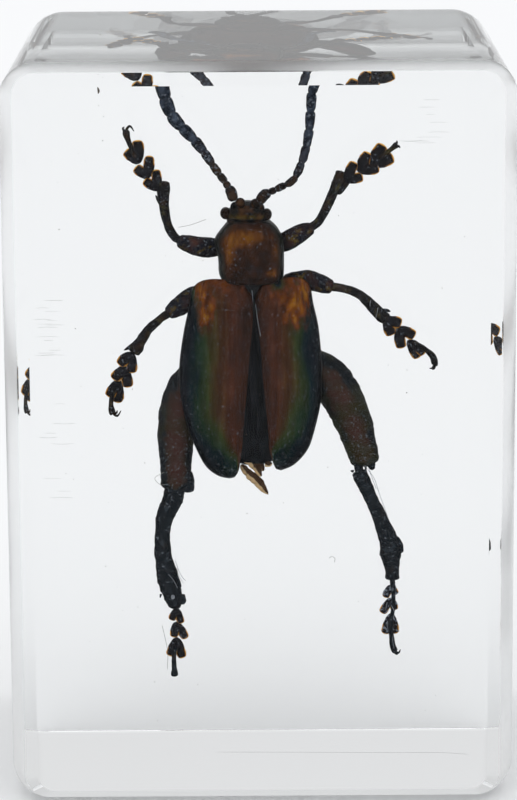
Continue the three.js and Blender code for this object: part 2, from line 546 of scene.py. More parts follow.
def block_rings():
    """Rings of the block from its front face to its back face: rounded rectangles, drawn in at
    the band straight, at the rim as (1 - t)^1.6, and at the back edge as a quarter circle. The
    corner radii run straight from the face to the rim, and on to the back. haze is 1 on the rim,
    which is only satin, and 0 on the polished faces and the band."""
    turn = np.linspace(0, np.pi / 2, BACK_RINGS)
    depth = np.concatenate((
        np.linspace(0.0, BAND_DEPTH, BAND_RINGS),
        np.linspace(BAND_DEPTH, RIM_DEPTH, RIM_RINGS)[1:],
        np.linspace(RIM_DEPTH, DEPTH - BACK_ROUND, SIDE_RINGS)[1:-1],
        DEPTH - BACK_ROUND * (1 - np.sin(turn)),
    ))
    on_band = np.clip(depth / BAND_DEPTH, 0, 1)[:, None]
    on_rim = np.clip((depth - BAND_DEPTH) / (RIM_DEPTH - BAND_DEPTH), 0, 1)[:, None]
    inset = np.where(on_band < 1, BAND_INSET + (RIM_INSET - BAND_INSET) * on_band,
                     RIM_INSET * (1 - on_rim) ** RIM_FULLNESS)
    inset[-len(turn):] += BACK_ROUND * (1 - np.cos(turn))[:, None]
    top_radius, base_radius = (
        np.interp(depth, (0.0, RIM_DEPTH, DEPTH), (FACE_CORNER_RADIUS, RIM_CORNER_RADIUS, back))
        for back in (BACK_TOP_RADIUS, BACK_BASE_RADIUS))
    half = WIDTH / 2 - np.maximum(0.0, depth - RIM_DEPTH) * SIDE_SLOPE - inset[:, 0]
    steps = np.linspace(0.0, 1.0, CORNER_POINTS)
    angle = (np.arange(4)[:, None] + steps[None, :]).ravel() * (np.pi / 2)
    right = np.repeat((1, -1, -1, 1), CORNER_POINTS)
    high = np.repeat((True, True, False, False), CORNER_POINTS)
    radius = np.where(high, top_radius[:, None], base_radius[:, None])
    x = right * (half[:, None] - radius) + radius * np.cos(angle)
    z = np.where(high, HEIGHT - inset[:, 1:2] - radius, inset[:, 2:] + radius) + radius * np.sin(angle)
    y = np.repeat((FRONT_Y + depth)[:, None], len(angle), axis=1)
    haze = eased(depth, BAND_DEPTH, BAND_DEPTH + 0.15)
    haze = haze * (1 - eased(depth, RIM_DEPTH - 0.2, RIM_DEPTH + 0.8))
    creases = (0, BAND_RINGS - 1, len(depth) - 1)
    return np.stack((x, y, z), axis=-1), np.repeat(haze, len(angle)), creases


def build_block(material):
    """The cast block: quads between the rings and one flat face at each end, with a crease at
    the front face, at the band's back edge and at the back face."""
    rings, haze, creases = block_rings()
    count, sides, _ = rings.shape
    row, col = np.meshgrid(np.arange(count - 1), np.arange(sides), indexing="ij")
    here = row * sides + col
    beside = row * sides + (col + 1) % sides
    quads = np.stack((here, here + sides, beside + sides, beside), axis=-1).reshape(-1, 4)
    front = list(range(sides))
    back = list(range(count * sides - 1, (count - 1) * sides - 1, -1))
    mesh = bpy.data.meshes.new("cast_resin_block")
    mesh.from_pydata((rings.reshape(-1, 3) * MM).tolist(), [], quads.tolist() + [front, back])
    mesh.polygons.foreach_set("use_smooth", np.ones(len(mesh.polygons), dtype=bool))
    ends = np.empty(len(mesh.edges) * 2, dtype=np.int64)
    mesh.edges.foreach_get("vertices", ends)
    first, second = (ends.reshape(-1, 2) // sides).T
    sharp = (first == second) & np.isin(first, creases)
    mesh.attributes.new("sharp_edge", "BOOLEAN", "EDGE").data.foreach_set("value", sharp)
    mesh.attributes.new("haze", "FLOAT", "POINT").data.foreach_set("value", haze)
    mesh.materials.append(material)
    mesh.update()
    made = bpy.data.objects.new("cast_resin_block", mesh)
    bpy.context.scene.collection.objects.link(made)
    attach(made, "root")
    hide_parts("resin_block")
    return made


# ---------------------------------------------------------------- the beetle's body

# Edges of the wing cases as (x, z), from the shoulder to the tip.
INNER_EDGE = {
    "left": ((-0.41, 28.75), (-0.40, 27.80), (-0.49, 26.75), (-0.65, 25.10), (-0.81, 23.10),
             (-0.97, 21.60), (-1.07, 20.10), (-1.18, 19.10), (-1.33, 18.10), (-1.60, 17.45)),
    "right": ((-0.28, 28.70), (-0.15, 27.55), (0.03, 26.05), (0.10, 25.10), (0.17, 24.10),
              (0.35, 22.10), (0.48, 20.60), (0.52, 19.60), (0.71, 18.70), (0.95, 17.95)),
}
OUTER_EDGE = {
    "left": ((-4.15, 28.90), (-4.35, 27.85), (-4.61, 26.65), (-4.87, 24.90), (-4.92, 23.40),
             (-4.66, 21.60), (-4.24, 20.05), (-3.48, 18.35), (-2.71, 17.62), (-1.90, 17.37)),
    "right": ((3.15, 29.05), (3.27, 28.30), (3.55, 27.00), (3.71, 25.50), (3.76, 24.15), (3.72, 22.30),
              (3.28, 20.25), (2.87, 19.15), (2.10, 18.27), (1.25, 17.86)),
}
# How far across a case (u, 0 at its inner edge) the green and the blue-black begin, at each v.
GREEN_STARTS = {
    "left": ((0.00, 0.93), (0.10, 0.82), (0.20, 0.68), (0.30, 0.60), (0.52, 0.57), (0.62, 0.46),
             (0.70, 0.28), (0.77, 0.12), (1.00, 0.01)),
    "right": ((0.00, 0.88), (0.12, 0.78), (0.22, 0.66), (0.30, 0.59), (0.42, 0.60), (0.54, 0.55),
              (0.64, 0.42), (0.72, 0.22), (0.80, 0.08), (1.00, 0.01)),
}
BLUE_STARTS = {
    "left": ((0.00, 0.98), (0.06, 0.94), (0.14, 0.81), (0.28, 0.71), (0.38, 0.72), (0.50, 0.84),
             (0.62, 0.84), (0.69, 0.66), (0.75, 0.40), (0.81, 0.16), (0.88, 0.05), (1.00, 0.02)),
    "right": ((0.00, 0.94), (0.06, 0.90), (0.14, 0.82), (0.30, 0.71), (0.42, 0.75), (0.55, 0.79),
              (0.64, 0.76), (0.72, 0.56), (0.78, 0.30), (0.84, 0.11), (1.00, 0.02)),
}
# Bright bronze fields, mostly a painted sheen of the lamps at the shoulders and partly the cases' own
# bronze: (u, v) of the middle, their reach each way, and their strength.
PAINTED_SHEEN_AND_BRONZE_FIELDS = {
    "left": ((0.69, 0.13, 0.10, 0.07, 1.10), (0.45, 0.01, 0.45, 0.05, 0.42),
             (0.82, 0.04, 0.07, 0.06, 1.00)),
    "right": ((0.68, 0.13, 0.14, 0.07, 1.00), (0.45, 0.03, 0.50, 0.06, 0.45),
              (0.86, 0.05, 0.07, 0.08, 1.00), (0.48, 0.12, 0.18, 0.06, 0.50)),
}
CASE_ROWS, CASE_COLUMNS = 120, 56
CASE_WALL = 0.13


def spot(u, v, field):
    """A bell around a place: strength times exp(-(du / reach)^2 - (dv / reach)^2)."""
    middle_u, middle_v, reach_u, reach_v, strength = field
    return strength * np.exp(-(((u - middle_u) / reach_u) ** 2) - ((v - middle_v) / reach_v) ** 2)


def case_band(side, u, v):
    """0 to 0.6 from the inner edge to the green, 0.6 to 0.8 across it, and on to 1 at the rim."""
    green, blue = (
        np.interp(v, *np.array(starts[side]).T) for starts in (GREEN_STARTS, BLUE_STARTS))
    brown_part = 0.6 * u / green
    green_part = 0.6 + 0.2 * (u - green) / (blue - green)
    blue_part = 0.8 + 0.2 * (u - blue) / (1.0 - blue)
    return np.where(u < green, brown_part, np.where(u < blue, green_part, blue_part))


def wing_case(side, material):
    """A wing case. Straight lines join its inner and its outer edge, u from 0 to 1 along them
    and v from 0 at the shoulder to 1 at the tip. Its front margin bulges forward as the
    superellipse (1 - |2u - 1|^3)^0.55. Its back rises from the outer edge by (1 - u^2.4)^0.55,
    less at the front margin and towards the tip, with a knob at the shoulder."""
    inner = even_curve(INNER_EDGE[side], CASE_ROWS)
    outer = even_curve(OUTER_EDGE[side], CASE_ROWS)
    v = np.linspace(0.0, 1.0, CASE_ROWS)[:, None]
    u = (0.5 - 0.5 * np.cos(np.linspace(0.0, np.pi, CASE_COLUMNS)))[None, :]
    x = inner[:, :1] + (outer[:, :1] - inner[:, :1]) * u
    z = inner[:, 1:] + (outer[:, 1:] - inner[:, 1:]) * u
    bulge = 1.18 * np.clip(1 - np.abs(2 * u - 1) ** 3, 0, 1) ** 0.55
    z = z + bulge * np.clip(1 - v / 0.22, 0, 1) ** 1.6
    arch = np.clip(1 - u**2.4, 0, 1) ** 0.55
    along = 0.62 + 0.38 * eased(v, -0.02, 0.14)
    along = along * np.clip(1 - np.clip((v - 0.45) / 0.55, 0, 1) ** 2.6, 0, 1) ** 0.6
    knob = spot(u, v, (0.74, 0.07, 0.14, 0.06, 0.10))
    hollow = spot(u, v, (0.55, 0.10, 0.12, 0.08, 0.07))
    seam = 0.05 * np.exp(-((u / 0.05) ** 2))
    rise = arch * along - seam + knob - hollow
    band = case_band(side, u, v)
    # gold: mostly a painted sheen of the lamps, partly the cases' own bronze.
    gold = sum(spot(u, v, field) for field in PAINTED_SHEEN_AND_BRONZE_FIELDS[side])
    frost = eased(v, 0.72, 0.95) + 0.5 * eased(u, 0.80, 1.0)
    if side == "right":
        dent = spot(u, v, (0.40, 0.015, 0.12, 0.030, 1.0))
        rise = rise - 0.14 * dent
        band = band + 0.62 * dent
        gold = gold * (1 - dent)
    folds = np.sin(u * 46.0 + v * 30.0) * spot(u, v, (0.70, 0.12, 0.16, 0.12, 0.006))
    rise = rise + folds
    top_y = SHELL_EDGE_Y - (SHELL_EDGE_Y - SHELL_TOP_Y) * rise
    under_y = np.minimum(top_y + CASE_WALL * (0.25 + arch), SHELL_EDGE_Y + 0.05)
    top = np.stack((x, top_y, z), axis=-1)
    under = np.stack((x, under_y, z), axis=-1)[:, ::-1]
    rings = np.concatenate((top, under), axis=1)
    values = {
        key: np.concatenate((grid, grid[:, ::-1]), axis=1)
        for key, grid in (("band", band), ("gold", gold), ("frost", frost + 0 * band))
    }
    return piece("wing_case_" + side, [skin(rings, values)], material)


# The collar behind the head as (z, left side, right side), and the places on it where a shine of
# the lamps is painted, as (x, z) of the middle, the reach each way, and the strength.
COLLAR_ROWS = (
    (33.52, -1.66, 0.48), (33.40, -1.92, 0.74), (33.12, -2.16, 1.04), (32.85, -2.38, 1.22),
    (32.55, -2.60, 1.38), (32.25, -2.70, 1.45), (31.95, -2.66, 1.48), (31.45, -2.53, 1.50),
    (30.90, -2.47, 1.50), (30.40, -2.46, 1.49), (30.02, -2.36, 1.45), (29.80, -2.20, 1.30))
COLLAR_HALF_DEPTH = 1.95
COLLAR_PAINTED_SHINE = (
    (-1.85, 31.60, 0.34, 1.10, 0.42), (-0.70, 32.75, 1.30, 0.60, 0.50),
    (-1.50, 32.20, 0.45, 0.60, 0.22), (1.00, 31.60, 0.26, 0.95, 0.42),
    (0.75, 30.42, 0.45, 0.26, 0.50), (-0.60, 31.60, 1.20, 1.20, 0.10))


def pronotum(material):
    """The collar behind the head: a barrel of superellipse rings between its two side outlines.
    Its rear edge bows back in the middle, with a shallow groove before it."""
    rows = even_curve(COLLAR_ROWS, 64)
    angle = np.linspace(0, 2 * np.pi, 72, endpoint=False)[None, :]
    share = np.linspace(0, 1, 64)[:, None]
    wide = np.sign(np.cos(angle)) * np.abs(np.cos(angle)) ** 0.86
    high = -np.sign(np.sin(angle)) * np.abs(np.sin(angle)) ** 0.80
    swell = 0.86 + 0.14 * np.sin(np.pi * share) ** 0.6
    x = (rows[:, 1:2] + rows[:, 2:]) / 2 + (rows[:, 2:] - rows[:, 1:2]) / 2 * wide
    y = COLLAR_Y + (COLLAR_HALF_DEPTH * swell) * high
    z = rows[:, :1] - 0.10 * (1 - np.abs(wide) ** 2) * share + 0.0 * angle
    groove = 0.09 * np.exp(-(((share - 0.90) / 0.035) ** 2)) * np.clip(-high, 0, 1)
    rings = np.stack((x, y + groove, z), axis=-1)
    rings[..., 1] += 0.025 * ripple(rings, 1.2, 21)
    # glow is a painted shine of the lamps, laid only on the side that faces the front.
    glow = sum(spot(x, z, field) for field in COLLAR_PAINTED_SHINE) * np.clip(-high, 0, 1) ** 0.5
    values = {"glow": glow, "rim": np.abs(wide) ** 2.2 + 0 * share}
    return piece("pronotum", [skin(rings, values)], material)


HEAD_X = -0.74
# The head as (z, half width, half depth), and its brow knobs as (x, y, z, size).
HEAD_ROWS = (
    (33.20, 1.10, 1.05), (33.50, 1.20, 1.22), (33.85, 1.22, 1.34), (34.15, 1.10, 1.34),
    (34.40, 0.90, 1.18), (34.58, 0.64, 0.92), (34.68, 0.34, 0.56))
BROW_KNOBS = ((-1.12, 4.35, 34.70, 0.31), (-0.20, 4.35, 34.62, 0.33), (-1.42, 4.75, 34.42, 0.30),
              (0.06, 4.75, 34.34, 0.28))


def head(material):
    """The head: superellipse rings from the neck to the brow, with a groove round the neck and
    two that cross on its face, and four brow knobs, the upper two carrying the antennae."""
    rows = even_curve(HEAD_ROWS, 56)
    angle = np.linspace(0, 2 * np.pi, 72, endpoint=False)[None, :]
    wide = np.sign(np.cos(angle)) * np.abs(np.cos(angle)) ** 0.85
    high = -np.sign(np.sin(angle)) * np.abs(np.sin(angle)) ** 0.85
    x = HEAD_X + rows[:, 1:2] * wide
    z = rows[:, :1] + 0 * angle
    cross = np.exp(-((np.abs(x - HEAD_X) - 1.1 * np.abs(z - 34.22)) / 0.10) ** 2)
    cross = cross * eased(z, 33.95, 34.05)
    neck = np.exp(-((z - 33.62) / 0.07) ** 2)
    y = HEAD_Y + rows[:, 2:3] * high + (0.14 * cross + 0.12 * neck) * np.clip(-high, 0, 1)
    rings = np.stack((x, y, z), axis=-1)
    rings[..., 1] += 0.035 * ripple(rings, 0.7, 33)
    glow = np.exp(-((z - 33.84) / 0.15) ** 2)
    # rim marks the outline and the brow end, darkened as painted shade where the head turns away, and
    # the two grooves, which the material darkens too.
    rim = np.maximum(np.abs(wide) ** 2, 0.9 * np.maximum(cross, neck))
    values = {"glow": glow - cross - neck, "rim": np.maximum(rim, eased(z, 34.35, 34.60))}
    shells = [skin(rings, values)]
    for *centre, size in BROW_KNOBS:
        shells.append(ball(centre, (size, 0.36, size), glow=0.0))
    return piece("head", shells, material)


def eyes(material):
    """Two bulging eyes at the sides of the head."""
    left = ball((-2.00, 4.85, 34.00), (0.34, 0.46, 0.38))
    right = ball((0.47, 4.85, 33.92), (0.31, 0.46, 0.37))
    return piece("eyes", [left, right], material)


# A jaw and a mouth feeler as (way out from the middle of the head, z, half width, y).
JAW = ((0.46, 33.30, 0.18, 6.30), (0.48, 33.70, 0.18, 6.50), (0.28, 34.02, 0.13, 6.60),
       (0.05, 34.12, 0.06, 6.62))
MOUTH_FEELER = ((0.70, 33.20, 0.09, 6.45), (0.92, 33.55, 0.11, 6.75), (0.88, 33.85, 0.13, 6.90),
                (0.74, 34.02, 0.08, 6.95))


def mouthparts(material):
    """Two curved jaws and two jointed feelers, folded under the head."""
    shells = []
    for side in (-1, 1):
        for path, sides in ((JAW, 14), (MOUTH_FEELER, 12)):
            rows = [(HEAD_X + side * out, z, half, y, half) for out, z, half, y in path]
            shells.append(limb(rows, 24, sides))
    return piece("mouthparts", shells, material)


def scutellum(material):
    """The small shield between the wing cases: a flat drop with its point to the rear."""
    shells = [limb(((-0.40, 30.00, 0.62, 4.00, 0.16), (-0.40, 29.65, 0.46, 3.84, 0.16),
                    (-0.38, 29.30, 0.24, 3.82, 0.12), (-0.36, 29.02, 0.05, 3.86, 0.06)), 24, 20)]
    return piece("scutellum", shells, material)


# The body under the wing cases as (z, half width), and its hips as (x, z, size).
BODY_ROWS = (
    (29.95, 1.60), (29.30, 2.80), (28.30, 3.45), (26.50, 3.70), (24.40, 3.85), (22.40, 3.75),
    (20.60, 3.25), (19.30, 2.35), (18.55, 1.35), (18.25, 0.60))
BODY_RINGS = 110
BODY_X = -0.45
HIPS = ((-1.5, 31.6, 0.55), (0.35, 31.6, 0.55), (-2.2, 28.6, 0.70), (1.35, 28.6, 0.70),
        (-2.3, 25.2, 1.05), (1.45, 25.2, 1.05))


def abdomen(material):
    """The body under the wing cases: rings from the chest to the tail, flat above and domed
    below, with a groove between each two of its plates, and the six hips."""
    rows = even_curve(BODY_ROWS, BODY_RINGS)
    angle = np.linspace(0, 2 * np.pi, 64, endpoint=False)[None, :]
    wide = np.sign(np.cos(angle)) * np.abs(np.cos(angle)) ** 0.8
    high = -np.sign(np.sin(angle)) * np.abs(np.sin(angle)) ** 0.9
    share = np.linspace(0, 1, BODY_RINGS)[:, None]
    z = rows[:, :1] + 0 * angle
    grooves = np.exp(-((((share * 11.0) % 1.0) - 0.5) / 0.09) ** 2) * eased(share, 0.38, 0.45)
    depth = (0.90 + 0.10 * np.sin(np.pi * share)) * np.sin(np.pi * (share * 0.94 + 0.05)) ** 0.35
    belly = (BELLY_Y - BODY_Y) * depth * np.clip(high, 0, 1) * (1 - 0.07 * grooves)
    back = (BODY_Y - BODY_TOP_Y) * depth * np.clip(-high, 0, 1) * (1 - 0.04 * grooves)
    x = BODY_X + rows[:, 1:] * wide
    y = BODY_Y + belly - back
    rings = np.stack((x, y, z), axis=-1)
    values = {"under": eased(high + 0 * share, 0.0, 0.3), "joint": grooves + 0 * angle}
    shells = [skin(rings, values)]
    for x_hip, z_hip, size in HIPS:
        radii = (size, 0.75, size * 0.8)
        shells.append(ball((x_hip, HIP_Y, z_hip), radii, under=1.0, joint=0.0))
    return piece("body_underside", shells, material)


def wing_scraps(material):
    """Torn, dry ends of the hind wings: a rolled strip and four small flakes."""
    shells = [
        limb(((-1.20, 18.32, 0.10, 5.0, 0.10), (-0.88, 17.92, 0.26, 5.1, 0.13),
              (-0.42, 17.42, 0.33, 5.2, 0.14), (0.06, 16.86, 0.26, 5.3, 0.10),
              (0.46, 16.34, 0.05, 5.4, 0.04)), 50, 20, rough=0.16, seed=5),
        limb(((-1.02, 18.66, 0.14, 4.9, 0.05), (-0.76, 18.54, 0.18, 4.9, 0.05),
              (-0.50, 18.46, 0.08, 4.9, 0.04)), 24, 16, rough=0.25, seed=8),
        limb(((-0.62, 18.62, 0.18, 5.0, 0.05), (-0.36, 18.22, 0.30, 5.05, 0.06),
              (-0.12, 17.84, 0.24, 5.1, 0.05), (0.02, 17.52, 0.08, 5.2, 0.04)),
             30, 18, rough=0.22, seed=9),
        limb(((-0.10, 18.52, 0.16, 5.2, 0.05), (0.06, 18.16, 0.24, 5.2, 0.05),
              (0.14, 17.86, 0.08, 5.2, 0.04)), 24, 16, rough=0.25, seed=12),
        limb(((0.26, 18.36, 0.13, 5.0, 0.05), (0.50, 18.34, 0.20, 5.0, 0.05),
              (0.72, 18.40, 0.07, 5.0, 0.04)), 24, 16, rough=0.25, seed=14),
    ]
    return piece("torn_hind_wings", shells, material)


# ---------------------------------------------------------------- antennae

ANTENNA = {
    "left": ((-1.52, 34.82), (-1.66, 35.38), (-1.98, 35.95), (-2.32, 36.46), (-2.71, 37.03),
             (-3.18, 37.76), (-3.79, 38.56), (-4.44, 39.26), (-4.98, 39.85), (-5.40, 40.65),
             (-5.63, 41.55), (-5.85, 42.35), (-6.35, 43.10)),
    "right": ((0.02, 34.68), (0.30, 35.16), (0.84, 35.46), (1.35, 35.72), (2.00, 36.09), (2.40, 36.75),
              (2.72, 37.66), (2.93, 38.57), (3.05, 39.47), (3.13, 40.50), (3.22, 41.46), (3.60, 42.35),
              (4.60, 43.05)),
}
ANTENNA_RADIUS = {"left": (0.22, 0.42), "right": (0.22, 0.31)}
SCAPE_RADIUS = 0.33
SEGMENT_LENGTHS = np.array((0.86, 0.36, 0.60, 0.70, 0.85, 0.92, 0.95, 0.98, 0.98, 0.98, 1.10))
ANTENNA_RINGS, ANTENNA_SIDES = 300, 20


def antenna(side, material):
    """A jointed feeler: a round tube whose radius is pinched at both ends of each of its eleven
    segments, as 1 - k (2f - 1.04)^4, f being the way along the segment. The pinch k fades from 0.42
    at the base to 0.24 further out, where the segments also widen outwards by a sixth."""
    path = even_curve(ANTENNA[side], ANTENNA_RINGS)
    step = np.concatenate(((0.0,), np.cumsum(np.linalg.norm(np.diff(path, axis=0), axis=1))))
    share = step / step[-1]
    ends = np.concatenate(((0.0,), np.cumsum(SEGMENT_LENGTHS) / SEGMENT_LENGTHS.sum()))
    segment = np.clip(np.searchsorted(ends, share, side="right") - 1, 0, len(SEGMENT_LENGTHS) - 1)
    way = (share - ends[segment]) / (ends[segment + 1] - ends[segment])
    thin, thick = ANTENNA_RADIUS[side]
    growth = thin + (thick - thin) * eased(segment / 10.0, 0.05, 0.95)
    growth = np.where(segment == 0, SCAPE_RADIUS, growth)
    outward = eased(segment / 10.0, 0.1, 0.5)
    pinch = 1.0 - (0.42 - 0.18 * outward) * np.abs(2 * way - 1.04) ** 4
    radius = growth * np.clip(pinch, 0.2, 1.0) * (1.0 + 0.16 * outward * (way - 0.5))
    angle = np.linspace(0, 2 * np.pi, ANTENNA_SIDES, endpoint=False)
    depth = FEELER_Y + 0.5 * (1 - eased(share, 0, 0.25))
    spine = np.stack((path[:, 0], depth, path[:, 1]), axis=-1)
    tangent = unit(np.gradient(spine, axis=0))
    across = unit(np.cross(tangent, np.array((0.0, 1.0, 0.0))))
    through = np.cross(across, tangent)
    offset = (across[:, None] * np.cos(angle)[None, :, None]
              + 0.8 * through[:, None] * np.sin(angle)[None, :, None])
    rings = spine[:, None] + offset * radius[:, None, None]
    rings = rings + offset * (0.012 * ripple(rings, 0.35, 3))[..., None]
    values = {
        "along": np.repeat(share[:, None], ANTENNA_SIDES, axis=1),
        "rim": np.repeat(np.abs(np.cos(angle))[None], ANTENNA_RINGS, axis=0),
    }
    return piece("antenna_" + side, [skin(rings, values)], material)


# ---------------------------------------------------------------- legs

